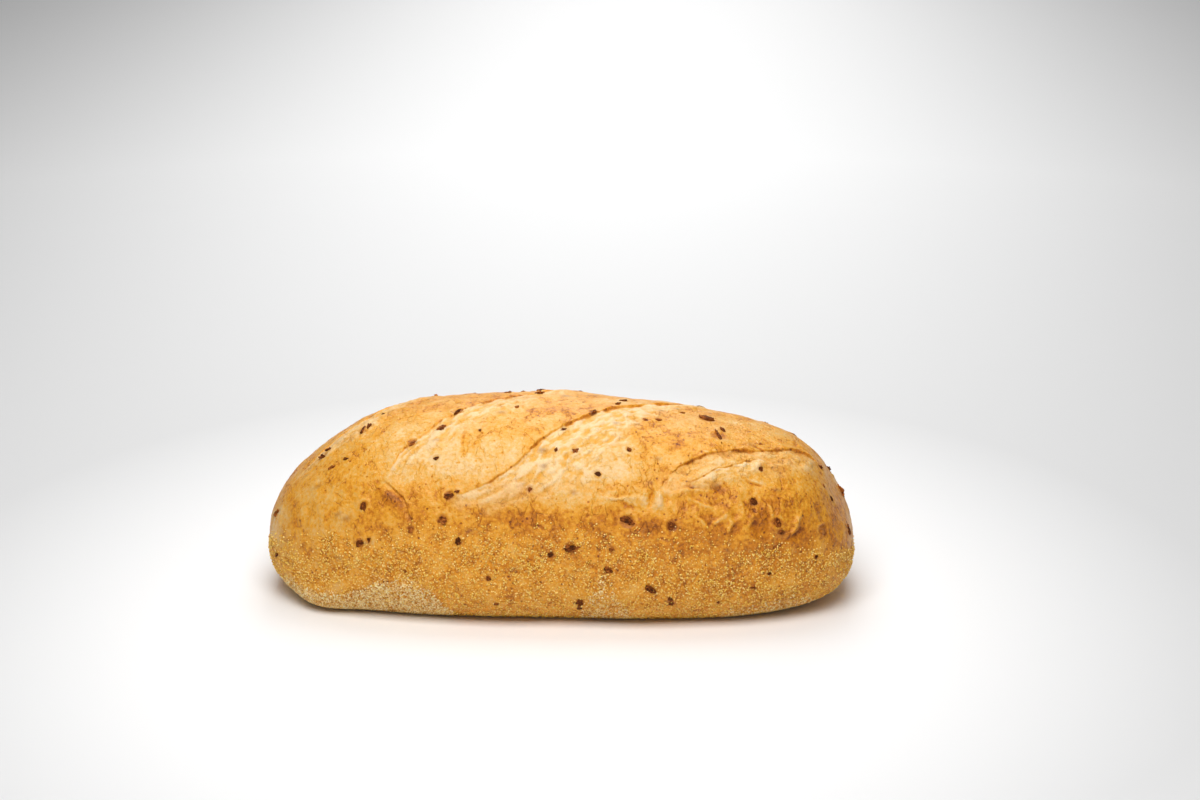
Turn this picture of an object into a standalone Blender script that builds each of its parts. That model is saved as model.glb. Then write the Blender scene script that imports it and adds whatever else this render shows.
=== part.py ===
"""A long baked loaf with four slashes across its crust, onion flakes fused into it and a flat base.

Metres, +Z up. The origin is on the floor under the middle of the loaf, +X runs along it and -Y is
its front. A place on the crust is given by x along the loaf and by arc, which is measured over the
skin from the crown, towards the front negative.
"""

import math
import random

import bmesh
import bpy
import numpy as np
from mathutils import Matrix, Vector, noise
from mathutils.bvhtree import BVHTree

MM = 0.001

# Loaf: half sizes, the level of its widest line, and how far its underside would bulge uncut
HALF_LENGTH = 140.6 * MM
HALF_WIDTH = 62.5 * MM
HEIGHT = 93.8 * MM
WIDEST_LEVEL = 33.7 * MM
WIDEST_LEVEL_AT_ENDS = 23.9 * MM
UNDERSIDE_DROP = 39.8 * MM

# Roundness: 2 is an ellipse and more is boxier. Lengthwise it differs between left and right end
CROWN_ROUNDNESS = (2.37, 2.4)
PLAN_ROUNDNESS = (2.57, 2.75)
UNDERSIDE_ROUNDNESS = (2.63, 2.46)
SECTION_ROUNDNESS_ABOVE = 2.3
SECTION_ROUNDNESS_BELOW = 2.6

# Heel: the front of the underside spreads here, at a share of the half length
HEEL_PLACE = -0.82
HEEL_REACH = 0.12
HEEL_SPREAD = 0.4

# Rows of faces along the loaf, across its top and up its side, and how they gather at the ends
ROWS_ALONG = 38
ROWS_ACROSS = 20
ROWS_UP = 13
ROW_ROUNDNESS = 2.43

# Near a crack the faces are split. The crack's wall runs down from its line to a second line at
# its right, and the corners this close to either line are moved onto it
FINE_BAND = 6 * MM
WALL_WIDTH = 1.5 * MM
SNAP_REACH = 0.6 * MM

# How far under the widest line the edge of the flat base starts, against a square section
BASE_REACH = 1.25

# Swells: x, arc, reach along, reach round, rise
SWELLS = (
    (-83 * MM, 0 * MM, 29 * MM, 70 * MM, 2.7 * MM),
    (36 * MM, 0 * MM, 36 * MM, 70 * MM, -1.9 * MM),
    (112 * MM, 0 * MM, 22 * MM, 60 * MM, 4.0 * MM),
    (133 * MM, -10 * MM, 10 * MM, 45 * MM, -3.0 * MM),
    (66 * MM, -40 * MM, 14 * MM, 22 * MM, 1.2 * MM),
    (66 * MM, 14 * MM, 16 * MM, 20 * MM, -1.3 * MM),
    (100 * MM, -56 * MM, 20 * MM, 12 * MM, 1.6 * MM),
    (0 * MM, 17 * MM, 7 * MM, 5 * MM, 0.5 * MM),
)

# The crust's unevenness, and the height over which all relief fades towards the flat base
UNEVEN_HEIGHT = 0.9 * MM
UNEVEN_SCALE = 34 * MM
FOOTING = 9 * MM

# Tears, all in millimetres: the crack's line as places (x, arc), the widths of the opening to its
# right, and the heights of the lip on its left and of the drop. First the slashes, from their
# front ends over the crown, then a small tear inside the last of them and a fold
TEARS = (
    {
        "line": ((-127, -26), (-113, -8), (-97, 3), (-83, 16), (-67, 33), (-58, 46)),
        "widths": (6, 24, 20, 12, 6),
        "lip": 0.3,
        "drop": 0.6,
    },
    {
        "line": ((-79, -56), (-73, -41), (-60, -26), (-50, -14), (-35, 0), (-13, 15), (8, 40)),
        "widths": (6, 20, 22, 20, 14, 6),
        "lip": 0.4,
        "drop": 0.8,
    },
    {
        "line": ((-50, -66), (-34, -61), (-18, -50), (-8, -37), (4, -25), (23, -6), (41, 8), (72, 38)),
        "widths": (8, 22, 37, 32, 20, 14, 6),
        "lip": 0.5,
        "drop": 1.0,
    },
    {
        "line": ((47, -62), (53, -52), (66, -40), (80, -31), (97, -24), (108, -14), (118, -9), (126, -14)),
        "widths": (9, 17, 22, 23, 18, 8),
        "lip": 0.6,
        "drop": 1.2,
    },
    {
        "line": ((61, -56), (67, -51), (74, -46), (84, -39), (96, -30)),
        "widths": (5, 9, 9, 5),
        "lip": 0.2,
        "drop": 0.6,
    },
    {
        "line": ((-79, -54), (-73, -60), (-69, -65), (-67, -70), (-63, -78)),
        "widths": (5, 9, 8, 4),
        "lip": 0.5,
        "drop": 1.3,
    },
)
LIP_REACH = 7 * MM
TORN_SWELL = 0.7 * MM
START_FADE = 0.12
END_FADE = 0.15

# Dimples: x, arc, radius, depth
DIMPLES = (
    (75 * MM, -56 * MM, 4.5 * MM, 1.3 * MM),
    (33 * MM, -75 * MM, 6.5 * MM, 1.2 * MM),
    (91 * MM, -60 * MM, 5.0 * MM, 1.2 * MM),
)

# Onion flakes on the front, in millimetres: x, arc, length, width, and the turn in degrees
FRONT_FLAKES = (
    (69, 0, 8.6, 3.6, -4),
    (33, -75, 7.6, 4.4, -18),
    (8, -90, 7.4, 3.0, 0),
    (-92, -14, 7.6, 1.8, 76),
    (-112, -20, 6.4, 2.6, -38),
    (-48, -12, 7.0, 2.0, 60),
    (-54, -26, 5.9, 2.6, 33),
    (-51, -76, 5.4, 3.6, 0),
    (12, -119, 5.4, 4.0, 66),
    (44, -109, 5.4, 3.0, -35),
    (54, -118, 4.9, 3.6, -57),
    (54, -77, 4.8, 3.8, 94),
    (-48, -65, 5.4, 2.6, 10),
    (76, -19, 5.6, 2.0, -75),
    (102, -69, 4.4, 3.5, 100),
    (-90, -86, 4.6, 3.0, 23),
    (-88, -66, 4.4, 2.9, 86),
    (-134, -51, 4.4, 3.0, -66),
    (25, -100, 4.5, 3.0, 0),
    (-89, -12, 5.0, 1.6, 73),
    (30, 9, 4.6, 2.0, 40),
    (27, 1, 4.4, 2.0, 50),
    (-106, -36, 4.6, 2.0, 4),
    (-67, -34, 5.6, 1.6, 50),
    (138, -50, 5.4, 3.2, 85),
    (-11, 12, 4.4, 2.2, 8),
    (-26, 14, 4.2, 1.8, -10),
    (58, 2, 4.0, 1.8, 10),
    (91, -60, 4.2, 2.9, -42),
    (-44, -87, 4.3, 2.7, 75),
    (-66, -80, 3.6, 3.4, 29),
    (16, -13, 3.8, 2.0, 50),
    (27, -90, 4.2, 2.0, -15),
    (-1, -93, 3.6, 2.9, 4),
    (20, -55, 3.4, 3.3, 6),
    (9, -43, 3.4, 3.0, 90),
    (41, -15, 3.4, 2.3, 94),
    (47, -13, 3.6, 2.4, -11),
    (34, -40, 3.0, 2.5, 90),
    (-55, -46, 3.6, 2.4, -4),
    (-30, -105, 3.1, 2.7, -22),
    (-27, -120, 3.6, 2.4, 15),
    (-11, -63, 3.1, 2.8, 4),
    (3, -29, 3.3, 2.0, 23),
    (110, 25, 3.2, 2.4, 16),
    (94, -40, 2.9, 2.3, 80),
    (-134, -102, 3.4, 2.6, 52),
    (124, -29, 3.2, 2.5, 65),
    (129, -31, 3.4, 2.8, 69),
    (92, -108, 2.8, 2.5, -6),
)

# Flakes on the back are drawn between these arcs, apart from each other
BACK_FLAKES = 58
BACK_ARC = (24 * MM, 122 * MM)
BACK_SHARE = 0.97
BACK_LENGTH = (2.8 * MM, 7.0 * MM)
BACK_SLIMNESS = (0.4, 0.8)
LEAST_WIDTH = 1.8 * MM
FLAKE_GAP = 9 * MM
LOWEST_FLAKE = 9 * MM
SEED = 27

# Every flake's thickness, how deep its middle lies, and how unevenly its corners stand out
FLAKE_THICKNESS = 1.9 * MM
FLAKE_SINK = 0.15 * MM
FLAKE_JITTER = 0.14

# For finding the crust over a place: steps along it and round it, and the height to look from
SMALL_SHARE = 0.004
SMALL_ARC = 0.5 * MM
LOOK_HEIGHT = 20 * MM

# Edges sharper than this are drawn sharp
SHARP_ANGLE = 50


def section(angle):
    """A point on the unit cross-section in the direction of an angle, 90 degrees at the crown."""
    across = np.cos(angle)
    up = np.sin(angle)
    roundness = np.where(up >= 0, SECTION_ROUNDNESS_ABOVE, SECTION_ROUNDNESS_BELOW)
    reach = (np.abs(across) ** roundness + np.abs(up) ** roundness) ** (-1 / roundness)
    return across * reach, up * reach


def fullness(share, roundness):
    """How much of its middle size the loaf keeps at a share of its half length."""
    left, right = roundness
    power = np.where(share < 0, left, right)
    return np.clip(1 - np.abs(share) ** power, 0, 1) ** (1 / power)


def skin(share, angle):
    """The plain loaf's surface, for shares of the half length from -1 to 1 and section angles."""
    across, up = section(angle)
    level = WIDEST_LEVEL + (WIDEST_LEVEL_AT_ENDS - WIDEST_LEVEL) * share**2
    rise = (HEIGHT - WIDEST_LEVEL) * fullness(share, CROWN_ROUNDNESS)
    drop = UNDERSIDE_DROP * fullness(share, UNDERSIDE_ROUNDNESS)
    heel = HEEL_SPREAD * np.exp(-(((share - HEEL_PLACE) / HEEL_REACH) ** 2))
    heel = np.where((across < 0) & (up < 0), heel * up**2, 0)
    x = HALF_LENGTH * share
    y = HALF_WIDTH * fullness(share, PLAN_ROUNDNESS) * across * (1 + heel)
    z = level + np.where(up >= 0, rise, drop) * up
    return np.stack([x, y, np.maximum(z, 0)], axis=-1)


def girth_table(steps=720):
    """Section angles once round the middle, and the arc from the crown to each of them."""
    angles = np.linspace(-math.pi / 2, 1.5 * math.pi, steps + 1)
    ring = skin(np.zeros(steps + 1), angles)
    walked = np.concatenate([[0], np.cumsum(np.linalg.norm(np.diff(ring, axis=0), axis=1))])
    arcs = np.interp(math.pi / 2, angles, walked) - walked
    return angles, arcs


GIRTH_ANGLES, GIRTH_ARCS = girth_table()


def arc_of(angle):
    wrapped = (np.asarray(angle) + math.pi / 2) % (2 * math.pi) - math.pi / 2
    return np.interp(wrapped, GIRTH_ANGLES, GIRTH_ARCS)


def angle_of(arc):
    return np.interp(-np.asarray(arc), -GIRTH_ARCS, GIRTH_ANGLES)


def smooth(share):
    share = np.clip(share, 0, 1)
    return share * share * (3 - 2 * share)


def trace(points, steps=8):
    """A smooth line through points given in millimetres, as an array of places in metres."""
    knots = [Vector(p) * MM for p in points]
    knots = [2 * knots[0] - knots[1], *knots, 2 * knots[-1] - knots[-2]]
    line = []
    for before, start, end, after in zip(knots, knots[1:], knots[2:], knots[3:]):
        for step in range(steps):
            t = step / steps
            line.append(
                start
                + 0.5 * t * (end - before)
                + t * t * (before - 2.5 * start + 2 * end - 0.5 * after)
                + t * t * t * 0.5 * (3 * start - before - 3 * end + after)
            )
    line.append(knots[-2])
    return np.array([tuple(p) for p in line])


def beside(line, x, arc):
    """For places beside a line: the nearest share of its length, the distance to its right, which
    is negative to its left, and the direction to its right."""
    places = np.stack([np.ravel(x), np.ravel(arc)], axis=-1)
    starts = line[:-1]
    spans = line[1:] - starts
    lengths = np.linalg.norm(spans, axis=1)
    run = np.concatenate([[0], np.cumsum(lengths)])
    away = places[:, None, :] - starts[None, :, :]
    along = np.clip((away * spans).sum(-1) / lengths**2, 0, 1)
    aside = away - along[..., None] * spans
    gaps = np.linalg.norm(aside, axis=-1)
    nearest = gaps.argmin(axis=1)
    rows = np.arange(len(places))
    turn = spans[nearest, 1] * away[rows, nearest, 0] - spans[nearest, 0] * away[rows, nearest, 1]
    share = (run[nearest] + along[rows, nearest] * lengths[nearest]) / run[-1]
    gap = gaps[rows, nearest]
    side = np.where(turn >= 0, 1, -1)
    rightward = aside[rows, nearest] * (side / np.maximum(gap, 1e-9))[:, None]
    return share, side * gap, rightward


def snap_to_cracks(x, arc):
    """Moves the places that lie close to the top or the foot of a crack's wall onto it."""
    for tear in TEARS:
        for level in (0, WALL_WIDTH):
            share, distance, rightward = beside(trace(tear["line"]), x, arc)
            near = (np.abs(distance - level) < SNAP_REACH) & (share > 0) & (share < 1)
            step = np.where(near, distance - level, 0)
            x = x - step * rightward[:, 0]
            arc = arc - step * rightward[:, 1]
    return x, arc


def end_fade(share):
    """Fades a tear out towards both of its ends."""
    return smooth(share / START_FADE) * smooth((1 - share) / END_FADE)


def tear_relief(tear, x, arc):
    """A lip along the crack's left, a drop at the crack and a torn floor rising to its right."""
    share, distance, _ = beside(trace(tear["line"]), x, arc)
    marks = np.linspace(0, 1, len(tear["widths"]))
    width = np.interp(share, marks, tear["widths"]) * MM
    lip = tear["lip"] * MM * np.exp(-np.maximum(-distance, 0) / LIP_REACH)
    opened = np.clip(distance / width, 0, 1)
    floor = TORN_SWELL * np.sin(math.pi * opened) - tear["drop"] * MM * (1 - opened) ** 3
    down = np.clip(distance / WALL_WIDTH, 0, 1)
    return end_fade(share) * (lip * (1 - down) + floor * down)


def relief(x, arc):
    """How far the crust stands out from the plain loaf at places on it."""
    height = np.zeros(np.shape(x))
    for at_x, at_arc, reach_x, reach_arc, rise in SWELLS:
        height += rise * np.exp(-(((x - at_x) / reach_x) ** 2) - ((arc - at_arc) / reach_arc) ** 2)
    for at_x, at_arc, radius, depth in DIMPLES:
        height -= depth * np.exp(-((x - at_x) ** 2 + (arc - at_arc) ** 2) / radius**2)
    for tear in TEARS:
        height += tear_relief(tear, x, arc)
    return height


def places_on_cube(points):
    """Shares of the half length and section angles for points on a cube of half size 1."""
    along, across, up = np.array(points).T
    rim = np.maximum(np.abs(across), np.abs(up))
    on_end = np.abs(along) > 1 - 1e-6
    walked = np.where(on_end, np.sign(along) * (2 - rim), along)
    bend = np.sin(walked * math.pi / 4)
    share = np.sign(bend) * np.abs(bend) ** (2 / ROW_ROUNDNESS)
    return share, np.arctan2(np.where(up < 0, BASE_REACH * up, up), across)


def even_cube():
    """A cube cut into even rows of faces along each of its three directions."""
    bm = bmesh.new()
    bmesh.ops.create_cube(bm, size=2)
    for axis, rows in enumerate((ROWS_ALONG, ROWS_ACROSS, ROWS_UP)):
        edges = [e for e in bm.edges if abs((e.verts[0].co - e.verts[1].co)[axis]) > 1e-6]
        bmesh.ops.subdivide_edges(bm, edges=edges, cuts=rows - 1, use_grid_fill=True)
    return bm


def refine_cracks(bm):
    """Splits the faces near the cracks, so that their drops are crisp."""
    middles = [(e.verts[0].co + e.verts[1].co) / 2 for e in bm.edges]
    share, angle = places_on_cube(middles)
    x = HALF_LENGTH * share
    arc = arc_of(angle)
    near = np.zeros(len(middles), bool)
    for tear in TEARS:
        along, distance, _ = beside(trace(tear["line"]), x, arc)
        near |= (np.abs(distance) < FINE_BAND) & (along > 0) & (along < 1)
    edges = [e for e, chosen in zip(bm.edges, near) if chosen]
    bmesh.ops.subdivide_edges(bm, edges=edges, cuts=1, use_grid_fill=True)


def cut_along(bm, tear, level):
    """Cuts the cube's faces along a tear's crack, or along a line that far to its right."""
    share, angle = places_on_cube([v.co for v in bm.verts])
    along, distance, _ = beside(trace(tear["line"]), HALF_LENGTH * share, arc_of(angle))
    distance = distance - level
    inside = (along > 0) & (along < 1) & (np.abs(distance) < FINE_BAND)
    close = inside & (np.abs(distance) < SNAP_REACH)
    bm.verts.index_update()
    crossed = []
    for edge in bm.edges:
        start, end = (v.index for v in edge.verts)
        if close[start] or close[end] or not (inside[start] and inside[end]):
            continue
        if distance[start] * distance[end] < 0:
            crossed.append((edge, distance[start] / (distance[start] - distance[end])))
    line = [v for v, chosen in zip(bm.verts, close) if chosen]
    for edge, part in crossed:
        line.append(bmesh.utils.edge_split(edge, edge.verts[0], part)[1])
    bmesh.ops.connect_verts(bm, verts=line)


def shape_loaf():
    """The loaf's closed body with its slashes, fold and dimples, standing flat on its base."""
    bm = even_cube()
    refine_cracks(bm)
    for tear in TEARS:
        for level in (0, WALL_WIDTH):
            cut_along(bm, tear, level)
    share, angle = places_on_cube([v.co for v in bm.verts])
    x, arc = snap_to_cracks(HALF_LENGTH * share, arc_of(angle))
    plain = skin(x / HALF_LENGTH, angle_of(arc))
    for vert, place in zip(bm.verts, plain):
        vert.co = place
    bmesh.ops.recalc_face_normals(bm, faces=bm.faces)
    bm.normal_update()
    rises = relief(x, arc)
    for vert, place, rise in zip(bm.verts, plain, rises):
        if place[2] <= 0:
            continue
        uneven = noise.noise(vert.co / UNEVEN_SCALE) * UNEVEN_HEIGHT
        footing = float(smooth(place[2] / FOOTING))
        vert.co += vert.normal * (float(rise) + uneven) * footing
        vert.co.z = max(vert.co.z, 0)
    base = [f for f in bm.faces if all(v.co.z < 1e-6 for v in f.verts)]
    bmesh.ops.dissolve_faces(bm, faces=base, use_verts=True)
    return bm


def crust_material():
    return plain_material("baked_crust", (0.56, 0.27, 0.07), 0.48)


def onion_material():
    return plain_material("browned_onion", (0.05, 0.02, 0.012), 0.62)


def plain_material(name, colour, roughness):
    material = bpy.data.materials.new(name)
    material.use_nodes = True
    shader = material.node_tree.nodes["Principled BSDF"]
    shader.inputs["Base Color"].default_value = (*colour, 1)
    shader.inputs["Roughness"].default_value = roughness
    shader.inputs["Metallic"].default_value = 0
    return material


def add_mesh_object(name, bm, material, collection):
    mesh = bpy.data.meshes.new(name)
    bm.to_mesh(mesh)
    bm.free()
    mesh.materials.append(material)
    piece = bpy.data.objects.new(name, mesh)
    collection.objects.link(piece)
    return piece


def on_crust(crust, x, arc):
    """The point on the finished crust over a place, with the outward direction there."""
    share = np.array([0, SMALL_SHARE, 0]) + x / HALF_LENGTH
    angle = angle_of([arc, arc, arc + SMALL_ARC])
    here, ahead, aside = (Vector(p) for p in skin(share, angle))
    outward = (ahead - here).cross(aside - here).normalized()
    if outward.dot(here - Vector((0, 0, WIDEST_LEVEL))) < 0:
        outward.negate()
    point = crust.ray_cast(here + outward * LOOK_HEIGHT, -outward)[0]
    return point, outward, (ahead - here).normalized()


def add_flake(number, crust, draw, size, material, collection):
    """One uneven little scale of onion lying in the crust."""
    x, arc, length, width, turn = size
    point, outward, along = on_crust(crust, x, arc)
    aside = outward.cross(along)
    bm = bmesh.new()
    bmesh.ops.create_icosphere(bm, subdivisions=1, radius=1)
    bmesh.ops.transform(bm, matrix=Matrix.Rotation(draw.uniform(0, math.pi), 4, "Z"), verts=bm.verts)
    for vert in bm.verts:
        vert.co *= 1 + draw.uniform(-FLAKE_JITTER, FLAKE_JITTER)
        vert.co.x *= length / 2
        vert.co.y *= width / 2
        vert.co.z *= FLAKE_THICKNESS / 2
    bmesh.ops.transform(bm, matrix=Matrix.Rotation(math.radians(turn), 4, "Z"), verts=bm.verts)
    lie = Matrix((along, aside, outward)).transposed().to_4x4()
    lie.translation = point - outward * FLAKE_SINK
    bmesh.ops.transform(bm, matrix=lie, verts=bm.verts)
    bmesh.ops.recalc_face_normals(bm, faces=bm.faces)
    return add_mesh_object(f"flake_{number:03d}", bm, material, collection)


def back_flake_sizes(draw):
    """Places and sizes of the flakes on the back, apart from each other."""
    sizes = []
    spots = []
    least, most = BACK_LENGTH
    while len(sizes) < BACK_FLAKES:
        x = draw.uniform(-BACK_SHARE, BACK_SHARE) * HALF_LENGTH
        arc = draw.uniform(*BACK_ARC)
        spot = Vector(skin(np.array([x / HALF_LENGTH]), angle_of([arc]))[0])
        if spot.z < LOWEST_FLAKE or any((spot - other).length < FLAKE_GAP for other in spots):
            continue
        length = least + (most - least) * draw.random() ** 2
        width = max(length * draw.uniform(*BACK_SLIMNESS), LEAST_WIDTH)
        spots.append(spot)
        sizes.append((x, arc, length, width, draw.uniform(0, 180)))
    return sizes


def front_flake_sizes():
    return [(*(size * MM for size in sizes), turn) for *sizes, turn in FRONT_FLAKES]


def fuse(loaf, flakes):
    """Joins every flake to the loaf in one union, and removes the loose flakes."""
    union = loaf.modifiers.new("flakes", "BOOLEAN")
    union.operation = "UNION"
    union.operand_type = "COLLECTION"
    union.collection = flakes
    union.solver = "EXACT"
    union.material_mode = "TRANSFER"
    seen = loaf.evaluated_get(bpy.context.evaluated_depsgraph_get())
    fused = bpy.data.meshes.new_from_object(seen)
    loaf.modifiers.clear()
    loaf.data = fused
    for piece in list(flakes.objects):
        bpy.data.objects.remove(piece)
    bpy.data.collections.remove(flakes)


def main():
    for piece in list(bpy.data.objects):
        bpy.data.objects.remove(piece)
    bread = bpy.data.collections.new("onion_bread")
    flakes = bpy.data.collections.new("onion_flakes")
    bpy.context.scene.collection.children.link(bread)
    bpy.context.scene.collection.children.link(flakes)

    draw = random.Random(SEED)
    body = shape_loaf()
    crust = BVHTree.FromBMesh(body)
    loaf = add_mesh_object("loaf", body, crust_material(), bread)
    onion = onion_material()
    for number, size in enumerate(front_flake_sizes() + back_flake_sizes(draw)):
        add_flake(number, crust, draw, size, onion, flakes)
    fuse(loaf, flakes)
    loaf.data.shade_smooth()
    loaf.data.set_sharp_from_angle(angle=math.radians(SHARP_ANGLE))


main()
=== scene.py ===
"""Onion bread: a golden batard with torn slashes, browned onion flakes and a dusting of corn meal.

Metres, +Z up. The loaf stands on the floor with its middle over the origin, +X along it and -Y at
its front. A place on the crust is given by x along the loaf and by arc, which is measured over the
skin from the crown, towards the front negative. Lists of places and sizes are in millimetres.
"""

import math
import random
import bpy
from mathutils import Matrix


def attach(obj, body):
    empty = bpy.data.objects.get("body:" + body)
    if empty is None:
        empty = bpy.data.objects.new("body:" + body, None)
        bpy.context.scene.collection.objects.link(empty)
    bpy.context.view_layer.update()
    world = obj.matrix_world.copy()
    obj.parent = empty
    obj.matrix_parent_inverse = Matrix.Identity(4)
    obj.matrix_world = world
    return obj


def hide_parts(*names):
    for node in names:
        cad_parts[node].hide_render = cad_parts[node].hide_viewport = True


bl_info = {
    "name": "Onion Bread",
    "version": (1, 0, 0),
    "blender": (4, 5, 0),
    "location": "View3D > Sidebar > Bread",
    "description": "Crust, onion flakes, corn meal and a plain stage for a loaf of onion bread",
    "category": "Object",
}

from functools import partial

import bmesh
import bpy
import numpy as np
from mathutils import Matrix, Vector, noise
from mathutils.bvhtree import BVHTree

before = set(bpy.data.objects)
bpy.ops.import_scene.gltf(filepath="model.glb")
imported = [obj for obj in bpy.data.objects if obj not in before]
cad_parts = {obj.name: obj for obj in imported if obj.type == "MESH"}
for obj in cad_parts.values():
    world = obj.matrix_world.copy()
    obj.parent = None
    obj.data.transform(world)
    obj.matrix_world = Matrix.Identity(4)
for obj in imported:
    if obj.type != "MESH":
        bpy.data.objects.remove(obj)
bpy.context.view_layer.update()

MM = 0.001

# Loaf: half sizes, the level of its widest line, and how far its underside would bulge uncut
HALF_LENGTH = 140.6 * MM
HALF_WIDTH = 62.5 * MM
HEIGHT = 93.8 * MM
WIDEST_LEVEL = 33.7 * MM
WIDEST_LEVEL_AT_ENDS = 23.9 * MM
UNDERSIDE_DROP = 39.8 * MM

# Roundness: 2 is an ellipse and more is boxier. Lengthwise it differs between left and right end
CROWN_ROUNDNESS = (2.37, 2.4)
PLAN_ROUNDNESS = (2.57, 2.75)
UNDERSIDE_ROUNDNESS = (2.63, 2.46)
SECTION_ROUNDNESS_ABOVE = 2.3
SECTION_ROUNDNESS_BELOW = 2.6

# Heel: the front of the underside spreads here, at a share of the half length
HEEL_PLACE = -0.82
HEEL_REACH = 0.12
HEEL_SPREAD = 0.4

# Rows of faces along the loaf, across its top and up its side. The end caps begin at this part of
# the way from the middle to the tip, measured over a curve of this height
ROWS_ALONG = 176
ROWS_ACROSS = 82
ROWS_UP = 64
CAP_START = 0.68
ROW_CURVE_HEIGHT = 52 * MM
BASE_REACH = 1.25

# On the flat base this many rows are joined
BASE_ROWS = 6

# Faces are split in the tears and over the front shoulder, and again at cracks and wrinkles
FINE_REACH = 3.0 * MM
FINE_BAND = (-88 * MM, -46 * MM)
FINEST_REACH = 1.3 * MM

# Swells: x, arc, reach along, reach round, rise
SWELLS = (
    (-83, 0, 29, 70, 2.7), (36, 0, 36, 70, -1.9), (112, 0, 22, 60, 4.0),
    (133, -10, 10, 45, -3.0), (66, -40, 14, 22, 1.2), (66, 14, 16, 20, -1.3),
    (100, -56, 20, 12, 1.6), (0, 17, 7, 5, 0.5),
)
UNEVEN_HEIGHT = 0.9 * MM
UNEVEN_SCALE = 34 * MM
FOOTING = 9 * MM

# Tears: the crack's line as places (x, arc), the widths of the opening to its right, the heights
# of the lip on its left and of the drop, how dark the crack's line is painted, as the shadow under
# the lip, how pale the floor, and how much darker the skin beside it is painted, as shade in its
# hollow. First the slashes, from their front ends over the crown, then a small tear inside the
# last of them and a fold
TEARS = (
    (
        ((-127, -26), (-113, -8), (-97, 3), (-83, 16), (-67, 33), (-58, 46)),
        (6, 24, 20, 12, 6),
        (0.3, 0.6, 0.15, 0.75, 0),
    ),
    (
        ((-79, -56), (-73, -41), (-60, -26), (-50, -14), (-35, 0), (-13, 15), (8, 40)),
        (6, 20, 22, 20, 14, 6),
        (0.4, 0.8, 0.85, 0.9, 0),
    ),
    (
        ((-50, -66), (-34, -61), (-18, -50), (-8, -37), (4, -25), (23, -6), (41, 8), (72, 38)),
        (8, 22, 37, 32, 20, 14, 6),
        (0.5, 1.0, 1.0, 1.0, 0),
    ),
    (
        ((47, -62), (53, -52), (66, -40), (80, -31), (97, -24), (108, -14), (118, -9), (126, -14)),
        (9, 17, 22, 23, 18, 8),
        (0.6, 1.2, 1.0, 0.4, 0),
    ),
    (
        ((61, -56), (67, -51), (74, -46), (84, -39), (96, -30)),
        (5, 9, 9, 5),
        (0.2, 0.6, 0.9, 1.0, 0),
    ),
    (
        ((-79, -54), (-73, -60), (-69, -65), (-67, -70), (-63, -78)),
        (5, 9, 8, 4),
        (0.5, 1.3, 0.4, 0.0, 0.14),
    ),
)

# How far a tear and its lip reach from the crack, the width of the wall and of the crack's
# painted shadow line, the shares of the length over which it fades, and how far beside it the
# skin is darkened with painted shade
TEAR_REACH = 45 * MM
LIP_REACH = 7 * MM
WALL_WIDTH = 0.7 * MM
CRACK_WIDTH = 0.38 * MM
START_FADE = 0.12
END_FADE = 0.15
BROWNED_BESIDE = 3 * MM

# Torn floors: how high they swell and how rough they are, how far right of the crack they start and
# how softly they end, and their strands, which run along the tear and are this much shorter there
TORN_SWELL = 0.7 * MM
TORN_ROUGHNESS = 0.8 * MM
TORN_FROM = 0.8 * MM
TORN_EDGE = 12 * MM
STRAND_SIZE = 2.6 * MM
STRAND_SHARE = 0.4

# Dimples: x, arc, radius, depth, and how much painted shade darkens their hollows
DIMPLES = (
    (75, -56, 2.9, 1.3, 0.42), (33, -75, 6.5, 1.2, 0.05), (91, -60, 5.0, 1.2, 0.05),
    (25, -61, 1.8, 0.3, 0.25), (-14, -60, 2.2, 0.2, 0.35), (-22, -61, 1.2, 0.2, 0.3),
    (5, -54, 1.2, 0.2, 0.25), (54, -77, 3.6, 0.4, 0.1), (63, -58, 1.6, 0.2, 0.25),
)

# Wrinkles: the line of places (x, arc), the height, negative for a groove, and the half width
WRINKLES = (
    (((82, -70), (80.5, -75), (79, -79)), 1.2, 1.0),
    (((91, -65), (90, -71), (88, -74.5)), 0.6, 0.9),
    (((113, -59), (111, -65), (110, -72), (104, -79)), 1.3, 1.1),
    (((66, -72), (69, -75), (71, -78)), 0.5, 0.9),
    (((76, -72), (74, -73.5), (72, -74.5)), 0.5, 0.8),
    (((125, -61), (122, -64), (120, -66)), 0.8, 0.8),
    (((60, -62), (64, -64), (69, -66), (74, -66)), 0.8, 0.9),
    (((70, -79), (73, -75), (78, -70), (80, -65)), 0.4, 0.9),
    (((21, -65), (28, -66.5), (35, -65), (39, -66)), 0.8, 0.9),
    (((55, -60.5), (62, -59), (72, -58.5)), 0.6, 0.8),
    (((96, -58), (99, -63), (99, -69)), 0.7, 0.8),
    (((49, -61), (48.5, -66), (48, -71)), 0.9, 1.5),
    (((45, -60), (44.5, -66), (43.5, -71)), -1.1, 1.2),
    (((-43, -42), (-43.5, -35), (-42, -28)), -0.4, 0.6),
    (((-9, -79), (-6, -80), (-3, -82)), -0.4, 0.8),
    (((66, -36), (68, -38), (70, -39)), -0.4, 0.7),
    (((48, -83), (51, -84), (54, -84)), -0.4, 0.8),
    (((30, -67), (34, -69), (39, -70)), -0.6, 1.0),
    (((88, -22), (93, -24), (99, -27)), -0.4, 0.6),
    (((86, -49), (90, -50), (97, -51)), -0.4, 0.8),
)
WRINKLE_REACH = 4 * MM

# The skin's own lumps, and the shoulders where it wrinkled: the arc they start at and how softly
SKIN_LUMPS = 7 * MM
SHOULDER_STARTS = 48 * MM
SHOULDER_BLEND = 12 * MM

# Patches where the skin crumpled into upright folds: x, arc, reach along, reach round, height
CRUMPLES = (
    (86, -70, 30, 12, 0.9),
    (44, -64, 14, 7, 0.8),
    (-46, -34, 16, 12, 0.5),
    (76, -38, 22, 9, 0.6),
)

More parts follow.
